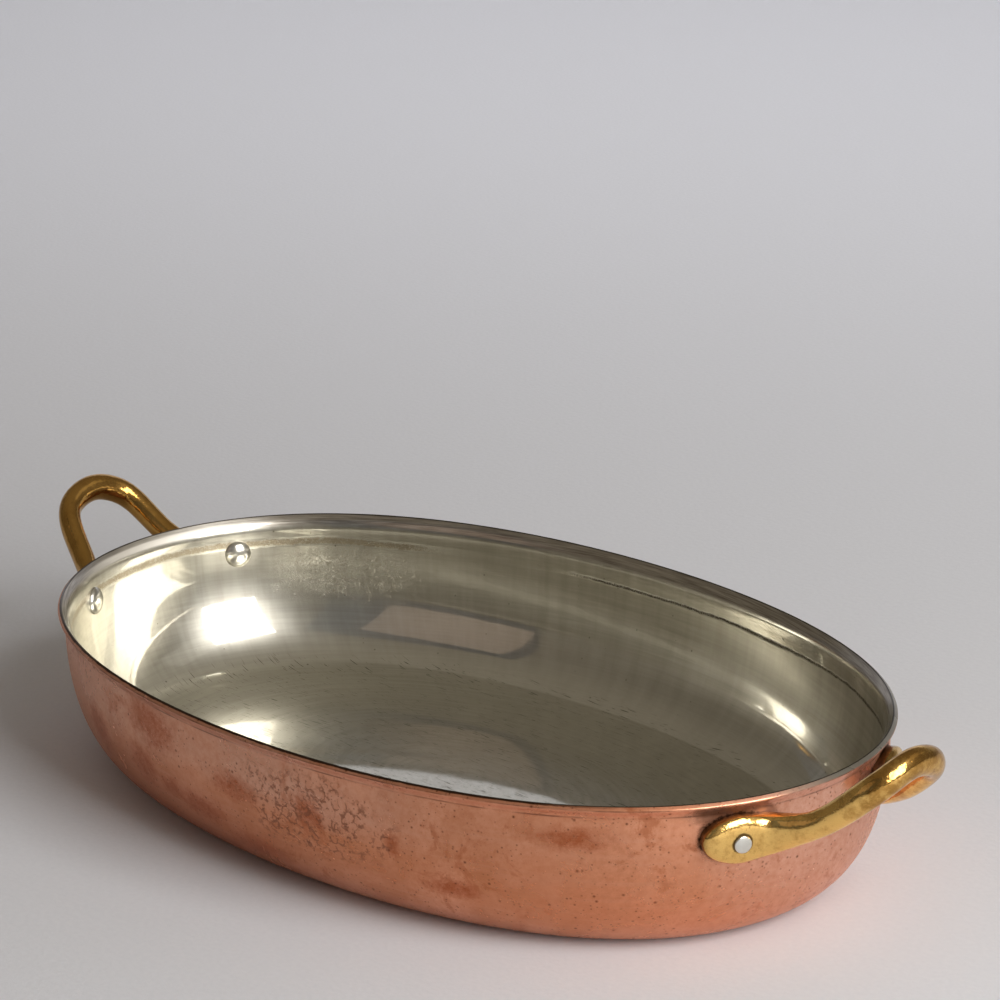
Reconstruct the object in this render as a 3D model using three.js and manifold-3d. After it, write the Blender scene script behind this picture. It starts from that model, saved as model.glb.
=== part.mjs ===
// Oval copper gratin pan: a raised copper body with a flared lip, a tin lining inside it,
// and at each end a cast brass loop handle held by two solid rivets.
// Millimetres, +Z up. X runs along the pan, Y across it, and the flat base stands on Z = 0.

import * as THREE from 'three';
import { mergeVertices } from 'three/addons/utils/BufferGeometryUtils.js';
import Module from 'manifold-3d';

// Plan outline of the rim, an oval a little squarer than an ellipse
const RIM_HALF_LENGTH = 175;
const RIM_HALF_WIDTH = 112.5;
const OVAL_POWER = 2.15;

// Height, sheet and lining
const RIM_HEIGHT = 58.5;
const COPPER_THICKNESS = 1.5;
const TIN_THICKNESS = 0.3;

// Lip, flared outward along the top of the wall
const LIP_OVERHANG = 2.5;
const LIP_DROP = 3.0;
const LIP_EDGE_BEVEL = 0.4;

// Wall, upright below the lip and rounding into the flat base
const WALL_DRAW_IN = 31;
const WALL_POWER = 2.39;
const BASE_MARGIN = 8;

// Pad at each foot of a handle
const PAD_HALF_SPACING = 37.6;
const PAD_BELOW_RIM = 13.5;
const PAD_NOSE_LENGTH = 12.5;
const PAD_TAIL_LENGTH = 10.8;
const PAD_HALF_HEIGHT = 8.3;
const PAD_THICKNESS = 5.6;
const PAD_FRONT_POWER = 2.8;
const PAD_BACK_POWER = 7;
const PAD_BACK_DEPTH = 4.2;
const NOSE_ROUND_LENGTH = 14.3;
const NOSE_EDGE_LENGTH = 3.5;
const NOSE_EDGE_DEPTH = 1.3;
const NOSE_TIP_HALF_HEIGHT = 1.2;

// Taper from the pad to the oval limb, measured along the handle from the nose
const TAPER_START = 11;
const TAPER_LENGTH = 29.7;

// Loop of the handle, its reaches measured from the end of the rim and its rises from the pads
const LIMB_REACH = 10;
const LIMB_HALF_SPACING = 21.7;
const LIMB_RISE = 5.5;
const LIMB_HALF_HEIGHT = 4.7;
const LIMB_HALF_DEPTH = 4.2;
const SHOULDER_REACH = 28.1;
const SHOULDER_HALF_SPACING = 14;
const SHOULDER_RISE = 21.2;
const GRIP_REACH = 30.9;
const GRIP_RISE = 26.3;
const GRIP_HALF_HEIGHT = 5.2;
const GRIP_HALF_DEPTH = 4.3;

// Rivets, each set a little inward of its pad's centre and a little below it
const RIVET_INWARD_OF_PAD = 0.3;
const RIVET_BELOW_PAD = 0.4;
const RIVET_RADIUS = 3.0;
const RIVET_HEAD_RADIUS = 5.3;
const RIVET_HEAD_HEIGHT = 2.5;
const RIVET_END_PROUD = 0.4;
const RIVET_END_CROWN = 0.5;

// Clearances between neighbouring pieces
const LINING_GAP = 0.3;
const SEAT_GAP = 0.3;
const HOLE_CLEARANCE = 0.3;

// Heights of the pads' centres and of the rivets
const PAD_HEIGHT = RIM_HEIGHT - PAD_BELOW_RIM;
const RIVET_HEIGHT = PAD_HEIGHT - RIVET_BELOW_PAD;
const RIVET_HALF_SPACING = PAD_HALF_SPACING - RIVET_INWARD_OF_PAD;

// Depth from the outer face of the copper to each face of the lining
const LINING_OUTER_DEPTH = COPPER_THICKNESS + LINING_GAP;
const LINING_INNER_DEPTH = LINING_OUTER_DEPTH + TIN_THICKNESS;

// Facets
const OVAL_STEPS = 76;
const WALL_STEPS = 8;
const SECTION_STEPS = 16;
const HANDLE_STEPS = 48;
const NOSE_STEPS = 4;
const ROUND_STEPS = 20;
const CROWN_STEPS = 4;

// Lengths used only by cutters, long enough to pass right through what they cut
const CUT_INWARD = 8;
const CUT_OUTWARD = 14;
const CUT_ABOVE_RIM = 30;

const wasm = await Module();
wasm.setup();

// Solids: a closed three.js geometry to a manifold and back
function toSolid(geometry) {
  const bare = geometry.clone();
  bare.deleteAttribute('normal');
  bare.deleteAttribute('uv');
  const merged = mergeVertices(bare, 1e-4);
  const faces = [];
  for (let i = 0; i < merged.index.count; i += 3) {
    const [a, b, c] = merged.index.array.slice(i, i + 3);
    if (a !== b && b !== c && c !== a) faces.push(a, b, c);
  }
  const mesh = new wasm.Mesh({
    numProp: 3,
    vertProperties: new Float32Array(merged.attributes.position.array),
    triVerts: new Uint32Array(faces),
  });
  return new wasm.Manifold(mesh);
}

function toGeometry(solid) {
  const mesh = solid.getMesh();
  const geometry = new THREE.BufferGeometry();
  geometry.setAttribute('position', new THREE.BufferAttribute(new Float32Array(mesh.vertProperties), 3));
  geometry.setIndex(new THREE.BufferAttribute(new Uint32Array(mesh.triVerts), 1));
  geometry.computeVertexNormals();
  return geometry;
}

// Loft through a row of closed rings, each end closed by a fan to the middle of its ring
function loft(rings) {
  const count = rings[0].length;
  const corners = rings.flat().flatMap((p) => [p.x, p.y, p.z]);
  const middle = (ring) => ring.reduce((sum, p) => sum.add(p), new THREE.Vector3()).divideScalar(count);
  const faces = [];
  for (let i = 0; i < rings.length - 1; i += 1) {
    for (let j = 0; j < count; j += 1) {
      const a = i * count + j;
      const b = i * count + ((j + 1) % count);
      faces.push(a, b, b + count, a, b + count, a + count);
    }
  }
  const start = rings.length * count;
  const last = (rings.length - 1) * count;
  corners.push(...middle(rings[0]).toArray(), ...middle(rings[rings.length - 1]).toArray());
  for (let j = 0; j < count; j += 1) {
    const next = (j + 1) % count;
    faces.push(start, next, j, start + 1, last + j, last + next);
  }
  const geometry = new THREE.BufferGeometry();
  geometry.setAttribute('position', new THREE.Float32BufferAttribute(corners, 3));
  geometry.setIndex(faces);
  return geometry;
}

// Plan oval: the point at an angle, and the direction that leaves the pan there
function ovalPoint(angle) {
  const c = Math.cos(angle);
  const s = Math.sin(angle);
  const x = RIM_HALF_LENGTH * Math.sign(c) * Math.abs(c) ** (2 / OVAL_POWER);
  const y = RIM_HALF_WIDTH * Math.sign(s) * Math.abs(s) ** (2 / OVAL_POWER);
  return new THREE.Vector2(x, y);
}

function ovalNormal(angle) {
  const p = ovalPoint(angle);
  const slope = (value, half) => (Math.sign(value) * Math.abs(value / half) ** (OVAL_POWER - 1)) / half;
  return new THREE.Vector2(slope(p.x, RIM_HALF_LENGTH), slope(p.y, RIM_HALF_WIDTH)).normalize();
}

// One level of the pan: the rim oval drawn in by an even amount
function ovalRing(inset, z) {
  const ring = [];
  for (let j = 0; j < OVAL_STEPS; j += 1) {
    const angle = (2 * Math.PI * j) / OVAL_STEPS;
    const p = ovalPoint(angle).addScaledVector(ovalNormal(angle), -inset);
    ring.push(new THREE.Vector3(p.x, p.y, z));
  }
  return ring;
}

// Outer face of the copper as points of (inset from the rim, height), from the base up to the lip
function outerProfile() {
  const flare = Math.atan2(LIP_OVERHANG, LIP_DROP);
  const lipTop = RIM_HEIGHT - LINING_INNER_DEPTH * Math.sin(flare);
  const wallTop = lipTop - LIP_DROP;
  const points = [new THREE.Vector2(LIP_OVERHANG + WALL_DRAW_IN + BASE_MARGIN, 0)];
  for (let k = WALL_STEPS; k >= 0; k -= 1) {
    const turn = (k / WALL_STEPS) * (Math.PI / 2);
    const inset = LIP_OVERHANG + WALL_DRAW_IN * (1 - Math.cos(turn) ** (2 / WALL_POWER));
    points.push(new THREE.Vector2(inset, wallTop * (1 - Math.sin(turn) ** (2 / WALL_POWER))));
  }
  points.push(new THREE.Vector2(0, lipTop));
  return points;
}

// The same profile moved inward by an even distance, its corners mitred
function offsetProfile(points, distance) {
  const side = (a, b) => new THREE.Vector2(b.y - a.y, a.x - b.x).normalize();
  return points.map((point, i) => {
    const before = i > 0 ? side(points[i - 1], point) : null;
    const after = i < points.length - 1 ? side(point, points[i + 1]) : null;
    const first = before ?? after;
    const second = after ?? before;
    const mitre = first.clone().add(second).normalize();
    return point.clone().addScaledVector(mitre, distance / mitre.dot(first));
  });
}

const outerFace = outerProfile();
const copperInnerFace = offsetProfile(outerFace, COPPER_THICKNESS);
const tinOuterFace = offsetProfile(outerFace, LINING_OUTER_DEPTH);
const tinInnerFace = offsetProfile(outerFace, LINING_INNER_DEPTH);

const ringsOf = (profile) => profile.map((point) => ovalRing(point.x, point.y));

// A shell between two faces, joined over the edge of the lip
function shell(outside, inside) {
  return loft([...ringsOf(outside), ...ringsOf([...inside].reverse())]);
}

// A solid that fills a face and goes on straight up above the rim
function filled(profile) {
  const top = profile[profile.length - 1];
  const lid = new THREE.Vector2(top.x, top.y + CUT_ABOVE_RIM);
  return toSolid(loft(ringsOf([...profile, lid])));
}

// Point and outward normal of the outer wall at a distance from the long axis and a height
function wallAt(y, z) {
  const i = outerFace.findIndex((point, k) => k > 1 && point.y >= z);
  const low = outerFace[i - 1];
  const high = outerFace[i];
  const inset = low.x + ((high.x - low.x) * (z - low.y)) / (high.y - low.y);
  const lean = Math.atan2(low.x - high.x, high.y - low.y);
  let from = 0;
  let to = Math.PI / 2;
  for (let k = 0; k < 40; k += 1) {
    const middle = (from + to) / 2;
    const reach = ovalPoint(middle).y - inset * ovalNormal(middle).y;
    if (reach < Math.abs(y)) from = middle;
    else to = middle;
  }
  const plan = ovalPoint(from).addScaledVector(ovalNormal(from), -inset);
  const out = ovalNormal(from);
  const side = Math.sign(y);
  return {
    point: new THREE.Vector3(plan.x, side * plan.y, z),
    level: new THREE.Vector3(out.x, side * out.y, 0),
    normal: new THREE.Vector3(out.x * Math.cos(lean), side * out.y * Math.cos(lean), -Math.sin(lean)),
  };
}

// Places a solid made along +Z so that it runs outward through the wall at a rivet
function atRivet(geometry, side) {
  const wall = wallAt(side * RIVET_HALF_SPACING, RIVET_HEIGHT);
  const turn = new THREE.Quaternion().setFromUnitVectors(new THREE.Vector3(0, 0, 1), wall.normal);
  return geometry.applyQuaternion(turn).translate(wall.point.x, wall.point.y, wall.point.z);
}

// Hole for a rivet shank, through pad, copper and tin
function rivetHole(side) {
  const length = CUT_INWARD + CUT_OUTWARD;
  const hole = new THREE.CylinderGeometry(
    RIVET_RADIUS + HOLE_CLEARANCE, RIVET_RADIUS + HOLE_CLEARANCE, length, ROUND_STEPS);
  hole.rotateX(Math.PI / 2).translate(0, 0, length / 2 - CUT_INWARD);
  return toSolid(atRivet(hole, side));
}

const rivetHoles = [rivetHole(-1), rivetHole(1)];
const rivetHolesAtLeft = rivetHoles.map((hole) => hole.rotate([0, 0, 180]));

function drill(solid, holes) {
  return holes.reduce((rest, hole) => rest.subtract(hole), solid);
}

// Copper body: the lip's outer corner is bevelled, then the four rivet holes are drilled
function copperPan() {
  const bevelled = [...outerFace];
  const lipEnd = bevelled.pop();
  const wallTop = bevelled[bevelled.length - 1];
  const innerEnd = copperInnerFace[copperInnerFace.length - 1];
  bevelled.push(lipEnd.clone().addScaledVector(wallTop.clone().sub(lipEnd).normalize(), LIP_EDGE_BEVEL));
  bevelled.push(lipEnd.clone().addScaledVector(innerEnd.clone().sub(lipEnd).normalize(), LIP_EDGE_BEVEL));
  const body = toSolid(shell(bevelled, copperInnerFace));
  return toGeometry(drill(body, [...rivetHoles, ...rivetHolesAtLeft]));
}

// Tin lining, following the copper from the floor to the edge of the lip
function tinLining() {
  const skin = toSolid(shell(tinOuterFace, tinInnerFace));
  return toGeometry(drill(skin, [...rivetHoles, ...rivetHolesAtLeft]));
}

// Centre line of a handle, from the nose of the front pad round the loop to the back pad
function handlePath() {
  const pad = wallAt(PAD_HALF_SPACING, PAD_HEIGHT);
  const centre = pad.point.clone().addScaledVector(pad.level, PAD_THICKNESS / 2);
  const along = new THREE.Vector3(pad.level.y, -pad.level.x, 0);
  const curveRadius = RIM_HALF_WIDTH;
  const onPad = (distance) => centre.clone().addScaledVector(along, distance)
    .addScaledVector(pad.level, -(distance * distance) / (2 * curveRadius));
  const half = [
    onPad(-PAD_NOSE_LENGTH),
    onPad(0),
    onPad(PAD_TAIL_LENGTH),
    new THREE.Vector3(RIM_HALF_LENGTH + LIMB_REACH, LIMB_HALF_SPACING, PAD_HEIGHT + LIMB_RISE),
    new THREE.Vector3(RIM_HALF_LENGTH + SHOULDER_REACH, SHOULDER_HALF_SPACING, PAD_HEIGHT + SHOULDER_RISE),
  ];
  const mirrored = half.map((p) => new THREE.Vector3(p.x, -p.y, p.z));
  const grip = new THREE.Vector3(RIM_HALF_LENGTH + GRIP_REACH, 0, PAD_HEIGHT + GRIP_RISE);
  const path = new THREE.CatmullRomCurve3([...mirrored, grip, ...half.reverse()]);
  path.arcLengthDivisions = 600;
  return path;
}

const blend = (from, to, share) => from + (to - from) * share;
const rounded = (x, length) => Math.sqrt(1 - (1 - Math.min(x / length, 1)) ** 2);

// Sizes of the handle's section at a distance from the nose: a flat-backed pad, then an oval limb
function sectionAt(distance, halfLength) {
  const taper = THREE.MathUtils.smoothstep(distance, TAPER_START, TAPER_START + TAPER_LENGTH);
  const swell = THREE.MathUtils.smoothstep(distance, TAPER_START + TAPER_LENGTH, halfLength);
  const limbHeight = blend(LIMB_HALF_HEIGHT, GRIP_HALF_HEIGHT, swell);
  const limbDepth = blend(LIMB_HALF_DEPTH, GRIP_HALF_DEPTH, swell);
  const nose = blend(NOSE_TIP_HALF_HEIGHT, PAD_HALF_HEIGHT, rounded(distance, NOSE_ROUND_LENGTH));
  const front = blend(NOSE_EDGE_DEPTH, PAD_THICKNESS / 2, rounded(distance, NOSE_EDGE_LENGTH));
  return {
    halfHeight: blend(nose, limbHeight, taper),
    frontDepth: blend(front, limbDepth, taper),
    backDepth: blend(PAD_BACK_DEPTH, limbDepth, taper),
    frontPower: blend(PAD_FRONT_POWER, 2, taper),
    backPower: blend(PAD_BACK_POWER, 2, taper),
  };
}

function sectionRing(path, at, length) {
  const size = sectionAt(Math.min(at, 1 - at) * length, length / 2);
  const centre = path.getPointAt(at);
  const travel = path.getTangentAt(at);
  const up = new THREE.Vector3(0, 0, 1).addScaledVector(travel, -travel.z).normalize();
  const back = new THREE.Vector3().crossVectors(up, travel);
  const ring = [];
  for (let j = 0; j < SECTION_STEPS; j += 1) {
    const angle = (2 * Math.PI * j) / SECTION_STEPS;
    const c = Math.cos(angle);
    const s = Math.sin(angle);
    const power = c > 0 ? size.backPower : size.frontPower;
    const depth = c > 0 ? size.backDepth : size.frontDepth;
    const backward = depth * Math.sign(c) * Math.abs(c) ** (2 / power);
    const upward = size.halfHeight * Math.sign(s) * Math.abs(s) ** (2 / power);
    ring.push(centre.clone().addScaledVector(back, backward).addScaledVector(up, upward));
  }
  return ring;
}

// Handle: lofted in one sweep, then seated on the wall and drilled for its rivets
function handle() {
  const path = handlePath();
  const length = path.getLength();
  const stations = [];
  for (let k = 0; k < NOSE_STEPS; k += 1) {
    stations.push((NOSE_EDGE_LENGTH / length) * (k / NOSE_STEPS) ** 2);
  }
  const run = 1 - (2 * NOSE_EDGE_LENGTH) / length;
  const middle = [];
  for (let k = 0; k <= HANDLE_STEPS; k += 1) {
    middle.push(NOSE_EDGE_LENGTH / length + (run * k) / HANDLE_STEPS);
  }
  const all = [...stations, ...middle, ...stations.map((at) => 1 - at).reverse()];
  const cast = toSolid(loft(all.map((at) => sectionRing(path, at, length))));
  const seat = filled(offsetProfile(outerFace, -SEAT_GAP));
  return toGeometry(drill(cast.subtract(seat), rivetHoles));
}

// Rivet: a domed head inside, dressed to the curve of the lining, a shank, and a crowned outer end
function rivet(side) {
  const inside = -(LINING_INNER_DEPTH + SEAT_GAP);
  const outside = PAD_THICKNESS + RIVET_END_PROUD;
  const headBase = inside + SEAT_GAP;
  const dome = [new THREE.Vector2(0, headBase), new THREE.Vector2(RIVET_HEAD_RADIUS, headBase)];
  for (let k = 0; k <= CROWN_STEPS; k += 1) {
    const turn = (k / CROWN_STEPS) * (Math.PI / 2);
    dome.push(new THREE.Vector2(RIVET_HEAD_RADIUS * Math.cos(turn), inside - RIVET_HEAD_HEIGHT * Math.sin(turn)));
  }
  dome[dome.length - 1].x = 0;
  const shank = [new THREE.Vector2(0, inside - RIVET_HEAD_HEIGHT / 2)];
  shank.push(new THREE.Vector2(RIVET_RADIUS, inside - RIVET_HEAD_HEIGHT / 2));
  for (let k = 0; k <= CROWN_STEPS; k += 1) {
    const turn = (k / CROWN_STEPS) * (Math.PI / 2);
    shank.push(new THREE.Vector2(RIVET_RADIUS * Math.cos(turn), outside + RIVET_END_CROWN * Math.sin(turn)));
  }
  shank[shank.length - 1].x = 0;
  const turned = (profile) => new THREE.LatheGeometry(profile, ROUND_STEPS).rotateX(Math.PI / 2);
  const head = toSolid(atRivet(turned([...dome].reverse()), side));
  const room = filled(offsetProfile(outerFace, LINING_INNER_DEPTH + SEAT_GAP));
  const body = toSolid(atRivet(turned(shank), side));
  return toGeometry(head.intersect(room).add(body));
}

// Materials
function metal(name, color, roughness) {
  return new THREE.MeshStandardMaterial({ name, color, roughness, metalness: 1 });
}

const copper = () => metal('copper', 0xc0785a, 0.38);
const tin = () => metal('tin', 0xb4b2a4, 0.2);
const brass = () => metal('brass', 0xc79a45, 0.22);
const tinnedRivet = () => metal('tinned_rivet', 0xd6d4cc, 0.28);

function piece(name, geometry, material) {
  const mesh = new THREE.Mesh(geometry, material);
  mesh.name = name;
  return mesh;
}

// The set at one end: a handle and its two rivets, turned about Z to the end where it belongs
function handleSet(end, turn, casting, rivets) {
  const set = new THREE.Group();
  set.add(piece(`handle_${end}`, casting, brass()));
  for (const [place, geometry] of Object.entries(rivets)) {
    set.add(piece(`rivet_${end}_${place}`, geometry, tinnedRivet()));
  }
  set.rotation.z = turn;
  return set;
}

const casting = handle();
const frontRivet = rivet(-1);
const backRivet = rivet(1);

const pan = new THREE.Group();
pan.add(piece('copper_pan', copperPan(), copper()));
pan.add(piece('tin_lining', tinLining(), tin()));
pan.add(handleSet('right', 0, casting, { front: frontRivet, back: backRivet }));
pan.add(handleSet('left', Math.PI, casting, { front: backRivet, back: frontRivet }));

export default pan;
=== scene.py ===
# %% [markdown]
# # An oval copper gratin pan
# The pan is one copper sheet raised into an oval dish. Its inside is tinned, and at each
# end a cast brass loop handle is held by two solid rivets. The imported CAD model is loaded
# first, because every visible piece is built in its place and to its sizes.

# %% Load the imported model
import math

import bmesh
import bpy
from mathutils import Matrix, Vector
from mathutils.bvhtree import BVHTree


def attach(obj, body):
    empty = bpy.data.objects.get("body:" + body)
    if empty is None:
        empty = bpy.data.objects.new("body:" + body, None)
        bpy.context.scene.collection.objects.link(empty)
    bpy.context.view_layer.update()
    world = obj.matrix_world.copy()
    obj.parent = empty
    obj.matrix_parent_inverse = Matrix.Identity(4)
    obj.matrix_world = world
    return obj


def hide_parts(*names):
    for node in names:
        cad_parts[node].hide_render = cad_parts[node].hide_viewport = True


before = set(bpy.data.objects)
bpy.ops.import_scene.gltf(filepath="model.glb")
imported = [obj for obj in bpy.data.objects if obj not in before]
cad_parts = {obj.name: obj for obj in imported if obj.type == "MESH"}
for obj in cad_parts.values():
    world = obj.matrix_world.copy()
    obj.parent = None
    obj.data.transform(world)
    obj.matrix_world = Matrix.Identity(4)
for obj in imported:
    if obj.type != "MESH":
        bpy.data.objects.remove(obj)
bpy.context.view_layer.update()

# %% [markdown]
# ## Units and sizes
# Blender works in metres and the pan was measured in millimetres, so lengths are written in
# millimetres here and one factor brings them over. Each size that two pieces share is named
# once: a lining that follows a wall, or a pad that sits on it, reads the same value.

# %% Sizes shared by the pieces
MM = 0.001

RIM_HALF_LENGTH = 175 * MM
RIM_HALF_WIDTH = 112.5 * MM
OVAL_SQUARENESS = 0.049
LIP_OUTER_EDGE_HEIGHT = 57.16 * MM
LIP_DROP = 3.0 * MM
LIP_OVERHANG = 2.5 * MM
LIP_BEND_WIDTH = 1.6 * MM
WALL_DRAW_IN = 31 * MM
WALL_POWER = 2.39
BASE_MARGIN = 8 * MM
FLOOR_CROWN = 2.8 * MM
COPPER_THICKNESS = 1.75 * MM
TIN_THICKNESS = 0.33 * MM
LAYER_GAP = 0.02 * MM

AROUND_STEPS = 288
WALL_STEPS = 34
CROWN_STEPS = 28
CROWN_EASE = 0.14

# %% [markdown]
# ## The camera
# The photograph was taken from a little above the rim, over the near side of the right
# handle, with a long lens. The camera's place and turn come from fitting the rim, the base
# and the rivets of the pan to their outlines, so it is given as three axes and a point.

# %% Camera
IMAGE_SIZE = 1000
FOCAL_PIXELS = 3743.4
SENSOR_WIDTH = 36.0

camera_data = bpy.data.cameras.new("camera")
camera_data.sensor_width = SENSOR_WIDTH
camera_data.lens = FOCAL_PIXELS / IMAGE_SIZE * SENSOR_WIDTH
camera_data.clip_start = 0.05
camera_data.clip_end = 50
camera = bpy.data.objects.new("camera", camera_data)
rightward = Vector((0.711366, 0.702736, -0.010973))
upward = Vector((-0.216062, 0.233518, 0.948043))
backward = Vector((0.668787, -0.672035, 0.317952))
camera_place = Vector((0.895344, -0.878936, 0.533639))
camera_turn = Matrix((rightward, upward, backward)).transposed().to_4x4()
camera.matrix_world = Matrix.Translation(camera_place) @ camera_turn
bpy.context.collection.objects.link(camera)
bpy.context.scene.camera = camera
print("lens, mm:", round(camera_data.lens, 2))

# %% [markdown]
# ## Colours and nodes
# Colours are picked as they look on a screen, as hex values, and Blender's shaders want them
# linear, so one function turns them over. A second one adds a shader node with its settings
# and its links, which keeps each material readable from top to bottom. The inputs come by
# name, or as a row, in the order in which they stand on the node in the editor: a noise has
# its place, scale, detail, roughness, lacunarity and distortion, and a map range has its
# value, the range it comes from and the range it goes to. Every material reads the object's
# own coordinates in metres, so the scale of a pattern follows from its real size.

# %% Helpers for materials
def linear(hex_colour):
    channels = [int(hex_colour[i:i + 2], 16) / 255 for i in (1, 3, 5)]
    turned = [c / 12.92 if c <= 0.04045 else ((c + 0.055) / 1.055) ** 2.4 for c in channels]
    return (*turned, 1.0)


def add(tree, kind, inputs=(), **settings):
    node = tree.nodes.new("ShaderNode" + kind)
    for name, value in settings.items():
        setattr(node, name, value)
    if isinstance(inputs, dict):
        pairs = [(node.inputs[name], value) for name, value in inputs.items()]
    else:
        pairs = list(zip([socket for socket in node.inputs if socket.enabled], inputs))
    for socket, value in pairs:
        if isinstance(value, bpy.types.Node):
            value = next(output for output in value.outputs if output.enabled)
        if isinstance(value, bpy.types.NodeSocket):
            tree.links.new(value, socket)
        else:
            socket.default_value = value
    return node


def per_metre(size_mm):
    return 1000 / size_mm


# Tints laid one over another, each with the share of the spot that it covers
def layered(tree, tint, *layers):
    for share, above in layers:
        below, above = (linear(c) if isinstance(c, str) else c for c in (tint, above))
        tint = add(tree, "Mix", (share, below, above), data_type="RGBA")
    return tint


def new_material(name):
    material = bpy.data.materials.new(name)
    material.use_nodes = True
    tree = material.node_tree
    tree.nodes.clear()
    return material, tree, add(tree, "TexCoord").outputs["Object"]

# %% [markdown]
# ## Floor and light
# The pan stands on a wide sheet of pale grey paper that sweeps up into a backdrop far behind
# it. One large soft box stands to the right and lights everything. To the left of the camera a
# faint warm panel stands before a grey-blue board, and behind the pan to the right a pale card
# brightens the lip. Another lamp lights only the paper behind, and the room around is dim and
# brownish, paler towards the ceiling. A polished metal shows hardly more than what it
# mirrors, so these few shapes make most of its look.

# %% Paper sweep
PAPER_HALF_WIDTH = 7.0
PAPER_FRONT = -7.0
SWEEP_START = 1.75
SWEEP_RADIUS = 0.45
SWEEP_TOP = 1.35
BACKDROP_AZIMUTH = math.radians(135)


def paper_material():
    material, tree, place = new_material("matte_photo_paper")
    grain = add(tree, "TexNoise", (place, per_metre(2.2), 4.0))
    tint = layered(tree, "#D8DAE1", (grain, "#E0E2E8"))
    tooth = add(tree, "Bump", {"Height": grain, "Strength": 0.6, "Distance": 0.2 * MM})
    shader = add(tree, "BsdfPrincipled", {"Base Color": tint, "Roughness": 0.85, "Normal": tooth})
    add(tree, "OutputMaterial", {"Surface": shader})
    return material


def paper_sweep():
    bm = bmesh.new()
    near = bm.verts.new((PAPER_FRONT, 0, 0))
    foot = bm.verts.new((SWEEP_START, 0, 0))
    bm.edges.new((near, foot))
    bmesh.ops.spin(bm, geom=[foot], cent=(SWEEP_START, 0, SWEEP_RADIUS), axis=(0, -1, 0), dvec=(0, 0, 0),
                   angle=math.pi / 2, steps=24, use_merge=False, use_duplicate=False)
    raised = max(bm.verts, key=lambda v: v.co.x + v.co.z)
    top = bm.verts.new((raised.co.x, 0, SWEEP_TOP))
    bm.edges.new((raised, top))
    strip = bmesh.ops.extrude_edge_only(bm, edges=bm.edges[:])
    side = [v for v in strip["geom"] if isinstance(v, bmesh.types.BMVert)]
    bmesh.ops.translate(bm, verts=side, vec=(0, PAPER_HALF_WIDTH * 2, 0))
    bmesh.ops.translate(bm, verts=bm.verts, vec=(0, -PAPER_HALF_WIDTH, 0))
    bmesh.ops.rotate(bm, verts=bm.verts, cent=(0, 0, 0), matrix=Matrix.Rotation(BACKDROP_AZIMUTH, 3, "Z"))
    for face in bm.faces:
        face.smooth = True
    return bm


def object_from(name, bm, material):
    mesh = bpy.data.meshes.new(name)
    bm.to_mesh(mesh)
    bm.free()
    mesh.materials.append(material)
    made = bpy.data.objects.new(name, mesh)
    bpy.context.collection.objects.link(made)
    return made


paper = object_from("paper_sweep", paper_sweep(), paper_material())
print("paper reaches up to, m:", SWEEP_TOP)

# %% [markdown]
# ### The lamps
# An area light shows in a mirror as a flat glowing sheet, as a soft box does. Each one is
# placed by its direction and distance from the pan and turned to face it. Its power is worked
# out from how bright the sheet itself should look, since that is what the metal mirrors.

# %% Lamps
def panel(name, place, facing, width, height, radiance, colour):
    data = bpy.data.lights.new(name, "AREA")
    data.shape = "RECTANGLE"
    data.size = width
    data.size_y = height
    data.energy = radiance * math.pi * width * height
    data.color = linear(colour)[:3]
    light = bpy.data.objects.new(name, data)
    turn = (-facing).to_track_quat("Z", "Y").to_matrix().to_4x4()
    light.matrix_world = Matrix.Translation(place) @ turn
    bpy.context.collection.objects.link(light)


def around(azimuth_degrees, elevation_degrees, distance):
    azimuth, elevation = math.radians(azimuth_degrees), math.radians(elevation_degrees)
    level = math.cos(elevation)
    return Vector((level * math.cos(azimuth), level * math.sin(azimuth), math.sin(elevation))) * distance


soft_box = around(-3, 30, 1.6)
warm_panel = around(-96, 31, 1.5)
pale_card = around(42, 43, 1.7)
panel("soft_box", soft_box, -soft_box, 0.93, 1.16, 7.9, "#FFFDFA")
panel("warm_panel", warm_panel, -warm_panel, 0.95, 0.80, 0.24, "#FFDFC4")
panel("pale_card", pale_card, -pale_card, 0.9, 0.6, 0.22, "#FFFCF4")
panel("paper_lamp", Vector((-0.35, 0.65, 1.5)), Vector((-0.5, 0.73, -0.37)), 1.2, 0.5, 9.6, "#F7F7FB")
print("lamps:", sorted(light.name for light in bpy.data.lights))

# %% [markdown]
# ### The board and the room
# A painted board stands behind the warm panel, so the panel's image in the tin has a dark
# band round it. The room is a background colour that gets stronger with height. The view
# transform Standard shows every colour as it was picked.

# %% Board and room
BOARD_WIDTH = 1.9
BOARD_HEIGHT = 1.55


def board_material():
    material, tree, place = new_material("grey_blue_painted_board")
    rolled = add(tree, "TexNoise", (place, per_metre(60), 2.0))
    tint = layered(tree, "#6B6E72", (rolled, "#74777B"))
    shader = add(tree, "BsdfPrincipled", {"Base Color": tint, "Roughness": 0.9})
    add(tree, "OutputMaterial", {"Surface": shader})
    return material


def board_behind_the_panel():
    bm = bmesh.new()
    bmesh.ops.create_grid(bm, x_segments=1, y_segments=1, size=0.5)
    bmesh.ops.scale(bm, verts=bm.verts, vec=(BOARD_WIDTH, BOARD_HEIGHT, 1))
    place = around(-84, 29, 1.68)
    facing = place.to_track_quat("Z", "Y").to_matrix().to_4x4()
    bmesh.ops.transform(bm, verts=bm.verts, matrix=Matrix.Translation(place) @ facing)
    return bm


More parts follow.
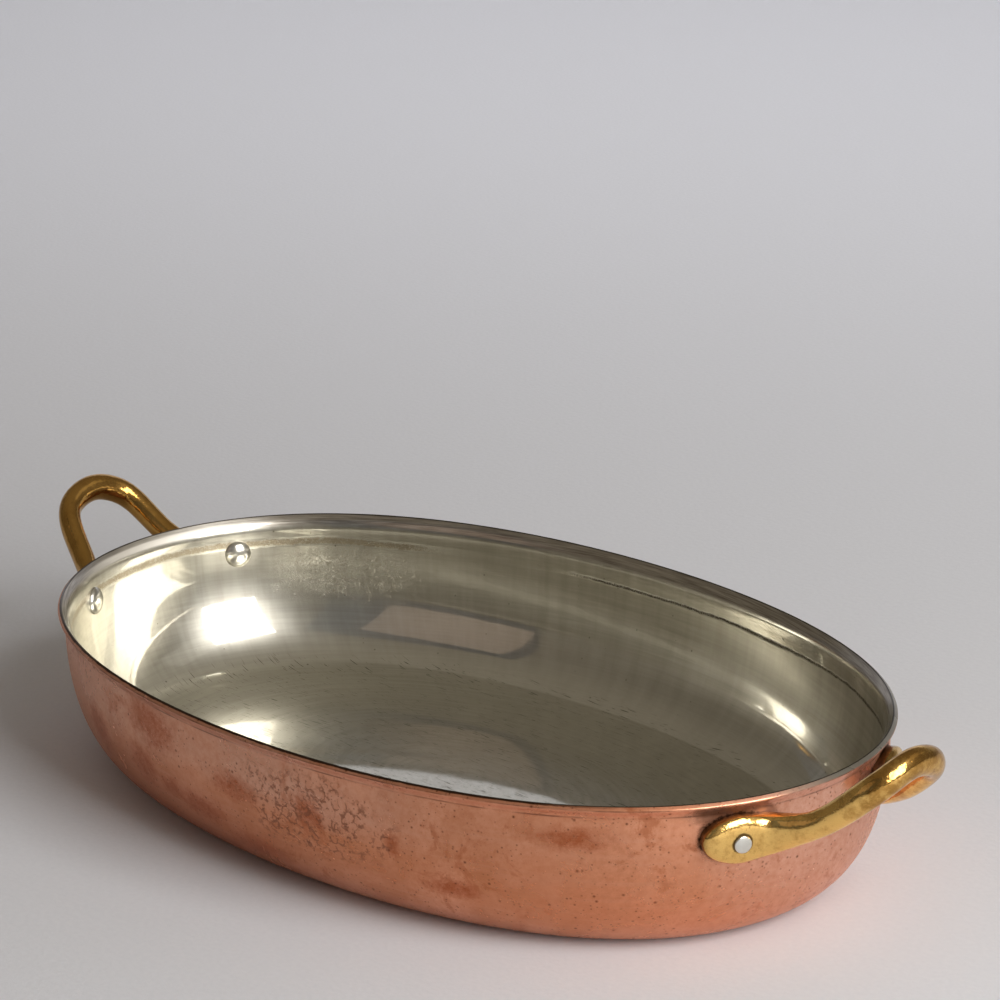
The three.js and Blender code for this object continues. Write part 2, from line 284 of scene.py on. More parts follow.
def dim_room():
    world = bpy.data.worlds.new("dim_room")
    world.use_nodes = True
    tree = world.node_tree
    tree.nodes.clear()
    direction = add(tree, "TexCoord").outputs["Generated"]
    height = add(tree, "SeparateXYZ", (direction,)).outputs["Z"]
    paler_above = add(tree, "MapRange", (height, 0.45, 1.0, 0.4, 0.6))
    room = add(tree, "Background", {"Color": linear("#A99F8E"), "Strength": paler_above})
    add(tree, "OutputWorld", {"Surface": room})
    return world


board = object_from("dark_board", board_behind_the_panel(), board_material())
bpy.context.scene.world = dim_room()
bpy.context.scene.view_settings.view_transform = "Standard"

# %% [markdown]
# ## From a round dish to an oval one
# A pan like this starts as a profile. The profile is spun into a round dish, which an
# operator does cleanly, and then every point moves from its circle to an oval at the same
# depth from the rim. The wall keeps one shape all the way round that way, as on a dish that
# was drawn over one tool. The oval is a little squarer than an ellipse.

# %% The oval and the spin
def oval_point(angle):
    c, s = math.cos(angle), math.sin(angle)
    return Vector((RIM_HALF_LENGTH * c * (1 + OVAL_SQUARENESS * s * s),
                   RIM_HALF_WIDTH * s * (1 + OVAL_SQUARENESS * c * c), 0))


def oval_outward(angle):
    c, s = math.cos(angle), math.sin(angle)
    along_x = RIM_HALF_LENGTH * s * (2 * OVAL_SQUARENESS * c * c - 1 - OVAL_SQUARENESS * s * s)
    along_y = RIM_HALF_WIDTH * c * (1 + OVAL_SQUARENESS * c * c - 2 * OVAL_SQUARENESS * s * s)
    return Vector((along_y, -along_x, 0)).normalized()


def spin_profile(bm, profile, steps):
    corners = [bm.verts.new((radius, 0, height)) for radius, height in profile]
    edges = [bm.edges.new(pair) for pair in zip(corners, corners[1:])]
    bmesh.ops.spin(bm, geom=corners + edges, cent=(0, 0, 0), axis=(0, 0, 1), dvec=(0, 0, 0),
                   angle=math.tau, steps=steps, use_merge=True, use_duplicate=False)
    bmesh.ops.remove_doubles(bm, verts=bm.verts, dist=1e-7)


def press_to_oval(bm):
    for vert in bm.verts:
        angle = math.atan2(vert.co.y, vert.co.x)
        inset = RIM_HALF_LENGTH - math.hypot(vert.co.x, vert.co.y)
        pressed = oval_point(angle) - oval_outward(angle) * inset
        vert.co = Vector((pressed.x, pressed.y, vert.co.z))

# %% [markdown]
# ## The copper sheet
# The wall is upright below the lip and rounds into the base along one long curve. At the top
# it bends outward into a short flared lip. The base is pushed up a little in the middle, as
# coppersmiths do to keep a pan from rocking, and that slight crown is what lets the floor
# mirror the backdrop over the far rim. The sheet is made as a single skin first: the copper
# gets its thickness from it, and the tin lies on its other side.

# %% The outer skin of the copper
def wall_profile():
    wall_top = LIP_OUTER_EDGE_HEIGHT - LIP_DROP
    foot = LIP_OVERHANG + WALL_DRAW_IN
    insets = [(foot + BASE_MARGIN, 0.0), (foot + BASE_MARGIN / 2, 0.0)]
    for k in range(WALL_STEPS, -1, -1):
        turned = k / WALL_STEPS * math.pi / 2
        rise = 1 - math.sin(turned) ** (2 / WALL_POWER)
        inset = LIP_OVERHANG + WALL_DRAW_IN * (1 - max(math.cos(turned), 0.0) ** (2 / WALL_POWER))
        insets.append((inset, wall_top * rise))
    insets.append((0.0, LIP_OUTER_EDGE_HEIGHT))
    return [(RIM_HALF_LENGTH - inset, height) for inset, height in insets], wall_top


def crown_base(bm):
    ring = [e for e in bm.edges if e.is_boundary and e.verts[0].co.z < 1 * MM]
    before, height = 1.0, 0.0
    for k in range(1, CROWN_STEPS + 1):
        share = 1 - k / (CROWN_STEPS + 1)
        grown = bmesh.ops.extrude_edge_only(bm, edges=ring)["geom"]
        inner = [v for v in grown if isinstance(v, bmesh.types.BMVert)]
        ring = [e for e in grown if isinstance(e, bmesh.types.BMEdge) and e.is_boundary]
        bmesh.ops.scale(bm, verts=inner, vec=(share / before,) * 2 + (1,))
        eased = min(1.0, (1 - share) / CROWN_EASE)
        height += FLOOR_CROWN * (before ** 2 - share ** 2) * eased
        for vert in inner:
            vert.co.z = height
        before = share
    bmesh.ops.holes_fill(bm, edges=ring)


def copper_skin():
    bm = bmesh.new()
    profile, wall_top = wall_profile()
    spin_profile(bm, profile, AROUND_STEPS)
    bend = [e for e in bm.edges if all(abs(v.co.z - wall_top) < 1e-6 for v in e.verts)]
    bmesh.ops.bevel(bm, geom=bend, offset=LIP_BEND_WIDTH, offset_type="OFFSET", affect="EDGES",
                    segments=5, profile=0.5, material=-1)
    press_to_oval(bm)
    crown_base(bm)
    bmesh.ops.recalc_face_normals(bm, faces=bm.faces)
    if sum(f.normal.dot(f.calc_center_median()) for f in bm.faces) < 0:
        bmesh.ops.reverse_faces(bm, faces=bm.faces)
    bm.normal_update()
    return bm


skin = copper_skin()
wall_tree = BVHTree.FromBMesh(skin)
print("outer skin:", len(skin.verts), "points,", len(skin.faces), "faces")

# %% [markdown]
# ## A finished piece
# Every piece ends the same way: its mesh goes into an object at the origin, it gets its
# material, it rides on the pan's one body, and it stands for the CAD node of its place.
# Faces are shaded smooth, and only the edges that turn sharply stay crisp.

# %% Helper that finishes a piece
def finish_piece(name, bm, material, node, crisp_angle=35):
    for face in bm.faces:
        face.smooth = True
    for edge in bm.edges:
        edge.smooth = edge.calc_face_angle(0) < math.radians(crisp_angle)
    piece = object_from(name, bm, material)
    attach(piece, "root")
    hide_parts(node)
    print(name, "faces:", len(piece.data.polygons))


def thicken(bm, thickness):
    bmesh.ops.solidify(bm, geom=bm.faces[:], thickness=thickness)
    bmesh.ops.recalc_face_normals(bm, faces=bm.faces)

# %% [markdown]
# ## Patterns that follow the pan
# A rag or a buffing wheel goes round the pan, so its marks are long along the wall and fine
# across it. Noise is stretched that way when its coordinates are turned into a direction
# around the oval and a distance down the wall. The direction is a point on a circle, so the
# pattern closes on itself with no seam. Dirt gathers round the four handle feet, which lie at
# mirrored places: the coordinates are folded over both middle planes and moved into the frame
# of one foot, so one mask serves them all. There X points out of the wall and Y to the nose.

# %% Coordinates for streaks and for the handle feet
MEAN_RADIUS_MM = 145
PAD_HALF_SPACING = 37.6 * MM
PAD_HEIGHT = 45.0 * MM
PAD_THICKNESS = 5.6 * MM
RIVET_HALF_SPACING = 37.3 * MM
RIVET_HEIGHT = 44.6 * MM


# Where a level line at this place meets the skin at the right end, and how the skin lies there
def skin_at(y, z):
    outside = Vector((RIM_HALF_LENGTH, y, z)) + Vector((50 * MM, 0, 0))
    spot, normal, _, _ = wall_tree.ray_cast(outside, Vector((-1, 0, 0)))
    return spot, normal


foot_spot, foot_normal = skin_at(PAD_HALF_SPACING, PAD_HEIGHT)
FOOT_TURN = math.atan2(foot_normal.y, foot_normal.x)
print("a pad's place on the skin, mm:", [round(v / MM, 1) for v in foot_spot])

# %% [markdown]
# ### Masks and sheens
# A mask says how much of a tint or a haze lies at a spot. Streaks, the distance from a centre
# and scattered pits make most of them, and the foot frame counts in millimetres. Used metal
# is seldom one gloss: hairline scratches lay a haze over what is left of the polish, so the
# metals mix a clear sheen with a hazy one of the same tint.

# %% Masks that more than one metal uses
def streak_coordinates(tree, place, along_mm, down_mm):
    flat = add(tree, "VectorMath", (place, (1 / RIM_HALF_LENGTH, 1 / RIM_HALF_WIDTH, 0)),
               operation="MULTIPLY")
    direction = add(tree, "VectorMath", (flat,), operation="NORMALIZE")
    around_rim = add(tree, "VectorMath", (direction, (MEAN_RADIUS_MM / along_mm,) * 3),
                     operation="MULTIPLY")
    radius = add(tree, "VectorMath", (flat,), operation="LENGTH").outputs["Value"]
    height = add(tree, "SeparateXYZ", (place,)).outputs["Z"]
    rise = add(tree, "Math", (height, per_metre(down_mm)), operation="MULTIPLY")
    depth = add(tree, "Math", (radius, MEAN_RADIUS_MM / down_mm, rise), operation="MULTIPLY_ADD")
    down = add(tree, "CombineXYZ", {"Z": depth})
    return add(tree, "VectorMath", (around_rim, down), operation="ADD")


def streaks(tree, place, along_mm, down_mm, detail=3.0):
    lying = streak_coordinates(tree, place, along_mm, down_mm)
    return add(tree, "TexNoise", {"Vector": lying, "Scale": 1.0, "Detail": detail, "Roughness": 0.6})


def in_foot_frame(tree, place):
    folded = add(tree, "VectorMath", (place,), operation="ABSOLUTE")
    return add(tree, "Mapping", {"Vector": folded, "Location": foot_spot, "Rotation": (0, 0, FOOT_TURN),
                                 "Scale": (MM, MM, MM)}, vector_type="TEXTURE")


def distance_from(tree, foot, centre, radii):
    moved = add(tree, "Mapping", {"Vector": foot, "Location": centre, "Scale": radii},
                vector_type="TEXTURE")
    return add(tree, "VectorMath", (moved,), operation="LENGTH").outputs["Value"]


def pits(tree, place, spacing_mm, size):
    cells = add(tree, "TexVoronoi", {"Vector": place, "Scale": per_metre(spacing_mm)})
    chance = add(tree, "SeparateColor", {"Color": cells.outputs["Color"]}).outputs["Red"]
    reach = add(tree, "Math", (chance, size), operation="MULTIPLY")
    return add(tree, "MapRange", (cells.outputs["Distance"], 0.0, reach, 1.0, 0.0),
               interpolation_type="SMOOTHSTEP")

# %% A metal of two sheens
def metal_of_two_sheens(tree, tint, surface, clear, haze, haze_share):
    metal = {"Base Color": tint, "Metallic": 1.0, "Normal": surface}
    mirror = add(tree, "BsdfPrincipled", {**metal, "Roughness": clear})
    satin = add(tree, "BsdfPrincipled", {**metal, "Roughness": haze})
    both = add(tree, "MixShader", (haze_share, mirror, satin))
    return add(tree, "OutputMaterial", {"Surface": both})

# %% [markdown]
# ## Copper: raised, polished once, then handled and washed for years
# Copper is salmon pink where it is bright. In the air it browns unevenly, so the colour goes
# from pink to a redder orange in soft clouds. Low on the left, away from the soft box, the
# wall is tinted browner and darker as painted shade, and higher up a thin pale fog lies on it.
# The right end is tinted paler, a painted sheen where the soft box lights it. Noise of a few
# millimetres breaks all of this up, as tarnish starts in small spots.

# %% Tarnish
def tarnish(tree, place, clouds):
    along, _, height = add(tree, "SeparateXYZ", (place,)).outputs
    cloudy = add(tree, "MapRange", (clouds, 0.38, 0.64), interpolation_type="SMOOTHSTEP")
    # Painted sheen: the right end is tinted paler, and its very end paler still, where the soft box lights
    # it.
    right = add(tree, "MapRange", (along, 100 * MM, 145 * MM, 0.0, 0.5))
    far_right = add(tree, "MapRange", (along, 155 * MM, 175 * MM, 0.0, 0.6))
    # Painted shade: low on the left, away from the soft box, the wall is tinted browner and darker.
    low = add(tree, "MapRange", (height, 36 * MM, 8 * MM))
    left = add(tree, "MapRange", (along, -10 * MM, 35 * MM, 0.9, 0.1))
    painted_shade_low_left = add(tree, "Math", (low, left), operation="MULTIPLY")
    high = add(tree, "MapRange", (height, 20 * MM, 40 * MM))
    thick = add(tree, "Math", (high, clouds), operation="MULTIPLY")
    hazy = add(tree, "MapRange", (thick, 0.3, 0.6))
    to_the_middle = add(tree, "MapRange", (along, 50 * MM, 90 * MM, 0.65, 0.1))
    fog = add(tree, "Math", (hazy, to_the_middle), operation="MULTIPLY")
    fine = add(tree, "TexNoise", (place, per_metre(2.6), 6.0, 0.78))
    mottle = add(tree, "MapRange", (fine, 0.4, 0.66, 0.0, 0.48))
    blotchy = add(tree, "TexNoise", (place, per_metre(19), 7.0, 0.72, 2.0, 0.7))
    rusty = add(tree, "MapRange", (blotchy, 0.56, 0.66, 0.0, 0.55), interpolation_type="SMOOTHSTEP")
    return layered(tree, "#E6A684", (cloudy, "#CD8962"), (right, "#EFAA86"), (far_right, "#E9C4B4"),
                   (painted_shade_low_left, "#BA6C40"), (fog, "#E8BCA6"), (mottle, "#C27A54"), (rusty, "#B4683F"))

# %% [markdown]
# ### Blots and stains
# Where food or hands touched the wall, it has orange blots about a centimetre wide. Each is
# an ellipsoid given by its centre and its radii, with an edge that noise makes ragged. One
# patch near the middle has worm-like lines, left by something acid that dried in droplets:
# the borders between the cells of a bent cell pattern have that form. Fine dark pits are
# cells too, of which only some hold a dot.

# %% Blots, stains and specks
ORANGE_BLOTS_MM = [
    ((-90, -97, 30), (10, 20, 10)),
    ((-56, -103, 28), (9, 20, 9)),
    ((-45, -106, 46), (15, 20, 10)),
    ((-38, -104, 24), (8, 20, 5)),
    ((-22, -105, 22), (14, 20, 6)),
    ((-1, -109, 37), (12, 20, 6)),
    ((4, -103, 14), (16, 20, 5)),
    ((35, -107, 37), (7, 20, 7)),
    ((69, -101, 33), (3, 20, 6)),
    ((89, -92, 21), (10, 20, 4)),
    ((128, -78, 46), (14, 20, 5)),
]
ETCHED_CENTRE = (36 * MM, -108 * MM, 36 * MM)
ETCHED_RADII = (34 * MM, 30 * MM, 16 * MM)


def orange_blots(tree, place):
    ragged = add(tree, "TexNoise", (place, per_metre(6), 8.0, 0.85))
    strongest = 0.0
    for centre, radii in ORANGE_BLOTS_MM:
        away = distance_from(tree, place, [v * MM for v in centre], [v * MM for v in radii])
        edge = add(tree, "Math", (ragged, 2.4, away), operation="MULTIPLY_ADD")
        blot = add(tree, "MapRange", (edge, 1.6, 2.3, 1.0, 0.0))
        strongest = add(tree, "Math", (blot, strongest), operation="MAXIMUM")
    fine = add(tree, "TexNoise", (place, per_metre(2.5), 8.0, 0.85))
    mottled = add(tree, "MapRange", (fine, 0.36, 0.6, 0.35, 0.95))
    return add(tree, "Math", (strongest, mottled), operation="MULTIPLY")


def etched_stains(tree, place):
    bent = add(tree, "TexNoise", (place, per_metre(3.0), 3.0))
    shift = add(tree, "VectorMath", (bent.outputs["Color"], (4 * MM,) * 3, place),
                operation="MULTIPLY_ADD")
    cells = add(tree, "TexVoronoi", {"Vector": shift, "Scale": per_metre(3.4)},
                feature="DISTANCE_TO_EDGE")
    lines = add(tree, "MapRange", (cells, 0.05, 0.13, 1.0, 0.0))
    broken = add(tree, "MapRange", (add(tree, "TexNoise", (place, per_metre(2.6), 3.0)), 0.45, 0.55))
    ragged = add(tree, "TexNoise", (place, per_metre(9), 4.0, 0.7))
    away = distance_from(tree, place, ETCHED_CENTRE, ETCHED_RADII)
    edge = add(tree, "Math", (ragged, 1.6, away), operation="MULTIPLY_ADD")
    here = add(tree, "MapRange", (edge, 1.5, 1.9, 0.75, 0.0))
    worms = add(tree, "Math", (lines, broken), operation="MULTIPLY")
    return add(tree, "Math", (worms, here), operation="MULTIPLY")


def specks(tree, place):
    dots = pits(tree, place, 1.5, 0.42)
    patchy = add(tree, "TexNoise", (place, per_metre(14), 4.0, 0.7))
    where = add(tree, "MapRange", (patchy, 0.42, 0.52, 0.0, 0.9))
    return add(tree, "Math", (dots, where), operation="MULTIPLY")


print("orange blots on the wall:", len(ORANGE_BLOTS_MM))

# %% [markdown]
# ### Grime, painted shade and edges
# Burnt-on grease stays in the corner round each handle foot, where no cloth reaches; the
# dark ring where a pad meets the wall and the smear above the pad are grime and painted shade.
# The crease under the lip is tinted dark as painted shade, and the lip's outer corner gets a
# thin dark line. A dark line where copper meets tin along the top is dirt and painted shade,
# fading out at the right end, where the soft box lights it. At the far right the wiped tin
# runs over the edge instead.

# %% Grime, painted shade and edges
# Grime and painted shade: a dark ring where the pad meets the wall, and a smear of shadow and dirt above
# the pad.
def grime_and_shade_round_the_feet(tree, place):
    foot = in_foot_frame(tree, place)
    crumbs = add(tree, "TexNoise", (place, per_metre(2.2), 5.0, 0.7))
    off_pad = distance_from(tree, foot, (0, -0.3, 0), (12, 12.7, 8.6))
    edge = add(tree, "Math", (crumbs, 0.45, off_pad), operation="MULTIPLY_ADD")
    ring = add(tree, "MapRange", (edge, 1.18, 1.32, 1.0, 0.0))
    ragged = add(tree, "TexNoise", (place, per_metre(3), 5.0, 0.7))
    off_dirt_and_shadow = distance_from(tree, foot, (0, 5, 8.5), (8, 13, 4.0))
    above = add(tree, "Math", (ragged, 0.9, off_dirt_and_shadow), operation="MULTIPLY_ADD")
    dirt_and_shadow_above = add(tree, "MapRange", (above, 1.0, 1.5, 0.55, 0.0))
    return add(tree, "Math", (ring, dirt_and_shadow_above), operation="MAXIMUM")


def fine_line(tree, place, level, half_width):
    height = add(tree, "SeparateXYZ", (place,)).outputs["Z"]
    above = add(tree, "Math", (height, level), operation="SUBTRACT")
    off = add(tree, "Math", (above,), operation="ABSOLUTE")
    band = add(tree, "MapRange", (off, half_width / 4, half_width, 1.0, 0.0))
    gaps = add(tree, "MapRange", (streaks(tree, place, 16, 6, 4.0), 0.42, 0.6, 0.1, 0.75))
    return add(tree, "Math", (band, gaps), operation="MULTIPLY")


# Dirt and painted shade: a near-black line at the top edge of the copper, faded out towards the right end,
# where the soft box lights the edge.
def dirt_and_shade_along_the_tin(tree, place):
    along, _, height = add(tree, "SeparateXYZ", (place,)).outputs
    worn = streaks(tree, place, 5, 5, 3.0)
    ragged = add(tree, "Math", (worn, 0.5 * MM, height), operation="MULTIPLY_ADD")
    line = add(tree, "MapRange", (ragged, 58.1 * MM, 58.25 * MM, 0.0, 0.92))
    left = add(tree, "MapRange", (along, 120 * MM, 145 * MM, 1.0, 0.0))
    return add(tree, "Math", (line, left), operation="MULTIPLY")


def tin_on_the_edge(tree, place):
    along, across, height = add(tree, "SeparateXYZ", (place,)).outputs
    on_edge = add(tree, "MapRange", (height, 57.1 * MM, 57.4 * MM))
    right_end = add(tree, "MapRange", (along, 100 * MM, 130 * MM))
    far_side = add(tree, "MapRange", (across, -30 * MM, 0.0))
    far_right = add(tree, "Math", (right_end, far_side), operation="MULTIPLY")
    return add(tree, "Math", (on_edge, far_right), operation="MULTIPLY")

# %% [markdown]
# ### The copper put together
# The tints go on one over another: tarnish, with painted shade low on the left and a painted
# sheen at the right end, the pale lines of the buffing wheel, blots, stains, painted shade in
# the crease under the lip, pits, grime that is partly painted shade, and a line of dirt and
# painted shade along the tin. Washing leaves a satin surface, never a mirror, so the clear
# sheen is soft already and half of the metal is hazier still. A raised sheet isn't quite
# even, and a very low bump about two centimetres wide gives that.

# %% Copper material
def copper_material():
    material, tree, place = new_material("raised_copper_buffed_then_tarnished")
    clouds = add(tree, "TexNoise", (place, per_metre(46), 6.0, 0.62, 2.0, 0.4))
    buffing = add(tree, "MapRange", (streaks(tree, place, 60, 1.6, 2.0), 0.5, 0.75, 0.0, 0.25))
    pitted = add(tree, "Math", (specks(tree, place), pits(tree, place, 3.4, 0.26)), operation="MAXIMUM")
    # Painted shade: the crease under the lip is tinted dark; the lip's outer corner gets a thin dark line
    # as well.
    crease_painted_shade = fine_line(tree, place, LIP_OUTER_EDGE_HEIGHT - LIP_DROP - 0.3 * MM, 0.45 * MM)
    cornered = fine_line(tree, place, LIP_OUTER_EDGE_HEIGHT, 0.3 * MM)
    crease_shade_and_corner_lines = add(tree, "Math", (crease_painted_shade, cornered), operation="MAXIMUM")
    grime_and_shade = grime_and_shade_round_the_feet(tree, place)

    tint = layered(tree, tarnish(tree, place, clouds), (buffing, "#DDA68A"),
                   (orange_blots(tree, place), "#B0603A"), (etched_stains(tree, place), "#8B5A45"),
                   (crease_shade_and_corner_lines, "#6E4030"), (pitted, "#7D472E"), (grime_and_shade, "#4A2F22"),
                   (tin_on_the_edge(tree, place), "#A39E94"), (dirt_and_shade_along_the_tin(tree, place), "#2C1B12"))

    satin = add(tree, "MapRange", (clouds, 0.4, 0.63, 0.2, 0.3))
    clear = add(tree, "Math", (grime_and_shade, 0.3, satin), operation="MULTIPLY_ADD")
    slow = add(tree, "TexNoise", (place, per_metre(18), 2.0))
    dented = add(tree, "Bump", {"Height": slow, "Strength": 1.0, "Distance": 0.1 * MM})
    sunk = add(tree, "Bump", {"Height": pitted, "Strength": 0.5, "Distance": 0.08 * MM, "Normal": dented},
               invert=True)
    metal_of_two_sheens(tree, tint, sunk, clear, 0.62, 0.5)
    return material


copper = copper_material()
print(copper.name, "nodes:", len(copper.node_tree.nodes))

# %% [markdown]
# ### The copper piece
# The skin gets the thickness of the sheet on its inner side. The lip's outer corner is
# rounded a little, as a file leaves it, and that round catches the thin bright line.

# %% Copper piece
LIP_CORNER_ROUND = 0.55 * MM


def copper_sheet():
    bm = skin.copy()
    thicken(bm, COPPER_THICKNESS)
    corner = [e for e in bm.edges if all(abs(v.co.z - LIP_OUTER_EDGE_HEIGHT) < 1e-5 for v in e.verts)]
    bmesh.ops.bevel(bm, geom=corner, offset=LIP_CORNER_ROUND, offset_type="OFFSET", affect="EDGES",
                    segments=4, profile=0.5, material=-1)
    return bm


finish_piece("copper_body", copper_sheet(), copper, "copper_pan")

# %% [markdown]
# ## The tin lining: wiped on molten, then scrubbed
# Molten tin is wiped over the inside of the copper with a rag. Fresh, it is a soft white
# mirror. High on this wall the second wipe ended in a lap: a thin dark seam along the right of
# the pan and a wrinkled one towards the left. The seam follows a height that wanders with two
# noises, a slow one for the hand and a fine one for the crusted edge.

# %% The lap of the second wipe
LAP_HEIGHT = 46.2 * MM


def lap_distance(tree, place):
    along, _, height = add(tree, "SeparateXYZ", (place,)).outputs
    low, high = LAP_HEIGHT - 1.5 * MM, LAP_HEIGHT + 0.3 * MM
    higher = add(tree, "MapRange", (along, -120 * MM, -170 * MM, low, high))
    hand = add(tree, "TexNoise", (place, per_metre(45), 2.0))
    slow = add(tree, "Math", (hand, 3.0 * MM, higher), operation="MULTIPLY_ADD")
    crusted = add(tree, "TexNoise", (place, per_metre(3.5), 5.0, 0.7))
    line = add(tree, "Math", (crusted, 1.4 * MM, slow), operation="MULTIPLY_ADD")
    return add(tree, "Math", (height, line), operation="SUBTRACT")


def lap_seam(tree, place, above_lap):
    along = add(tree, "SeparateXYZ", (place,)).outputs["X"]
    width = add(tree, "MapRange", (along, -120 * MM, -30 * MM, 1.9 * MM, 0.8 * MM))
    off = add(tree, "Math", (above_lap,), operation="ABSOLUTE")
    share = add(tree, "Math", (off, width), operation="DIVIDE")
    ridge = add(tree, "MapRange", (share, 0.4, 1.1, 1.0, 0.0))
    thick = add(tree, "MapRange", (along, -115 * MM, -95 * MM, 1.0, 0.15))
    dirty = add(tree, "MapRange", (along, -60 * MM, -30 * MM))
    ends = add(tree, "Math", (thick, dirty), operation="MAXIMUM")
    return add(tree, "Math", (ridge, ends), operation="MULTIPLY")


def wiped_dull(tree, place, above_lap):
    along, _, height = add(tree, "SeparateXYZ", (place,)).outputs
    lower = add(tree, "MapRange", (height, 24 * MM, 33 * MM))
    under_lap = add(tree, "MapRange", (above_lap, 0.0, -1.0 * MM))
    right_side = add(tree, "MapRange", (along, 10 * MM, 40 * MM))
    band = add(tree, "Math", (lower, under_lap), operation="MULTIPLY")
    return add(tree, "Math", (band, right_side), operation="MULTIPLY")

# %% [markdown]
# ### Scratches and stains of the tin
# Forks and spoons left short scratches on the floor. Noise that is stretched to a few
# millimetres by half a millimetre gives them, when only its peaks are kept. High on the far
# wall, towards the left, a patch of crinkled stain dried on.

# %% Scratches and stains
CRINKLED_CENTRE = (-134 * MM, 68 * MM, 36 * MM)
CRINKLED_RADII = (34 * MM, 30 * MM, 13 * MM)


def scratches(tree, place, turn_degrees, length_mm, width_mm, threshold):
    turned = (0, 0, math.radians(turn_degrees))
    stretched = (per_metre(length_mm), per_metre(width_mm), per_metre(30))
    lying = add(tree, "Mapping", {"Vector": place, "Rotation": turned, "Scale": stretched})
    field = add(tree, "TexNoise", {"Vector": lying, "Scale": 1.0, "Detail": 1.0, "Distortion": 0.3})
    return add(tree, "MapRange", (field, threshold, threshold + 0.03))


def floor_marks(tree, place):
    height = add(tree, "SeparateXYZ", (place,)).outputs["Z"]
    level = add(tree, "MapRange", (height, 7 * MM, 5 * MM))
    first = scratches(tree, place, 35, 8, 0.45, 0.69)
    second = scratches(tree, place, -20, 7, 0.4, 0.7)
    both = add(tree, "Math", (first, second), operation="MAXIMUM")
    scored = add(tree, "Math", (both, level), operation="MULTIPLY")
    return add(tree, "Math", (scored, pits(tree, place, 5.5, 0.12)), operation="MAXIMUM")


def crinkled_stain(tree, place):
    wrinkles = add(tree, "TexNoise", (place, per_metre(1.5), 4.0, 0.65, 2.0, 2.5))
    ragged = add(tree, "TexNoise", (place, per_metre(5), 3.0))
    away = distance_from(tree, place, CRINKLED_CENTRE, CRINKLED_RADII)
    edge = add(tree, "Math", (ragged, 0.8, away), operation="MULTIPLY_ADD")
    where = add(tree, "MapRange", (edge, 1.0, 1.6, 1.0, 0.0))
    crinkles = add(tree, "MapRange", (wrinkles, 0.46, 0.62))
    return add(tree, "Math", (crinkles, where), operation="MULTIPLY")

# %% [markdown]
# ### The lip of the tin
# On the lip the tin has gone dull and brownish grey, and its very edge is worn dark, with a
# painted line of shade where it meets the copper. At the left end, the inner bend of the lip
# is scrubbed fine, and a near-white tint on it is a painted highlight of the soft box. One
# function lays these tints on and hands the highlight's share on to the sheens.

# %% Lip of the tin
def lip_of_the_tin(tree, place, below):
    along, _, height = add(tree, "SeparateXYZ", (place,)).outputs
    lip = add(tree, "MapRange", (height, 54.0 * MM, 55.0 * MM))
    # The rim edge of the tin is tinted near black: wear, and a painted line of shade where it meets the
    # copper.
    rim_edge_wear_and_shade = add(tree, "MapRange", (height, 58.05 * MM, 58.25 * MM, 0.0, 0.9))
    inner_bend = add(tree, "MapRange", (height, 57.2 * MM, 56.6 * MM, 0.35, 1.0))
    bright_end = add(tree, "MapRange", (along, -153 * MM, -168 * MM))
    # Painted highlight: a near-white tint on the inner bend at the left end of the lip.
    painted_highlight_bend = add(tree, "Math", (bright_end, inner_bend), operation="MULTIPLY")
    scuffs = add(tree, "MapRange", (streaks(tree, place, 14, 0.8, 4.0), 0.35, 0.65))
    lip_tint = layered(tree, "#CFC9BE", (scuffs, "#958D83"), (painted_highlight_bend, "#F4F0E8"))
    tint = layered(tree, below, (lip, lip_tint), (rim_edge_wear_and_shade, "#3A332C"))
    lip_roughness = add(tree, "MapRange", (bright_end, 0.0, 1.0, 0.1, 0.2))
    roughened = add(tree, "Math", (lip, lip_roughness), operation="MULTIPLY")
    hazy_bend = add(tree, "Math", (lip, painted_highlight_bend), operation="MULTIPLY")
    return tint, roughened, hazy_bend

# %% [markdown]
# ### The tin put together
# Hairline scratches cover the tin, so each spot is part clear mirror and part haze. The rag
# left long faint streaks round the wall and soft bands down it, and both change the share of
# haze. It is larger where the lap, the stain and the dull band lie, and at the left end.

# %% Tin material
def tin_tint(tree, place, seam_crust, stain, marks):
    along, _, height = add(tree, "SeparateXYZ", (place,)).outputs
    clouds = add(tree, "TexNoise", (place, per_metre(28), 5.0))
    on_the_wall = add(tree, "MapRange", (height, 3 * MM, 12 * MM, 0.25, 1.0))
    bands = add(tree, "MapRange", (streaks(tree, place, 5, 45), 0.35, 0.65, 0.0, 0.6))
    wiped_grey = add(tree, "Math", (bands, on_the_wall), operation="MULTIPLY")
    to_the_left = add(tree, "MapRange", (along, -40 * MM, -130 * MM))
    seam_tint = layered(tree, "#3E362A", (to_the_left, "#9C907A"))
    seam = add(tree, "MapRange", (seam_crust, 0.2, 0.5, 0.0, 0.85))
    dried = add(tree, "Math", (stain, 0.6), operation="MULTIPLY")
    return layered(tree, "#DCD9CE", (clouds, "#C8C5BA"), (wiped_grey, "#BAB6AA"), (seam, seam_tint),
                   (dried, "#8F8A7A"), (marks, "#5C5847"))


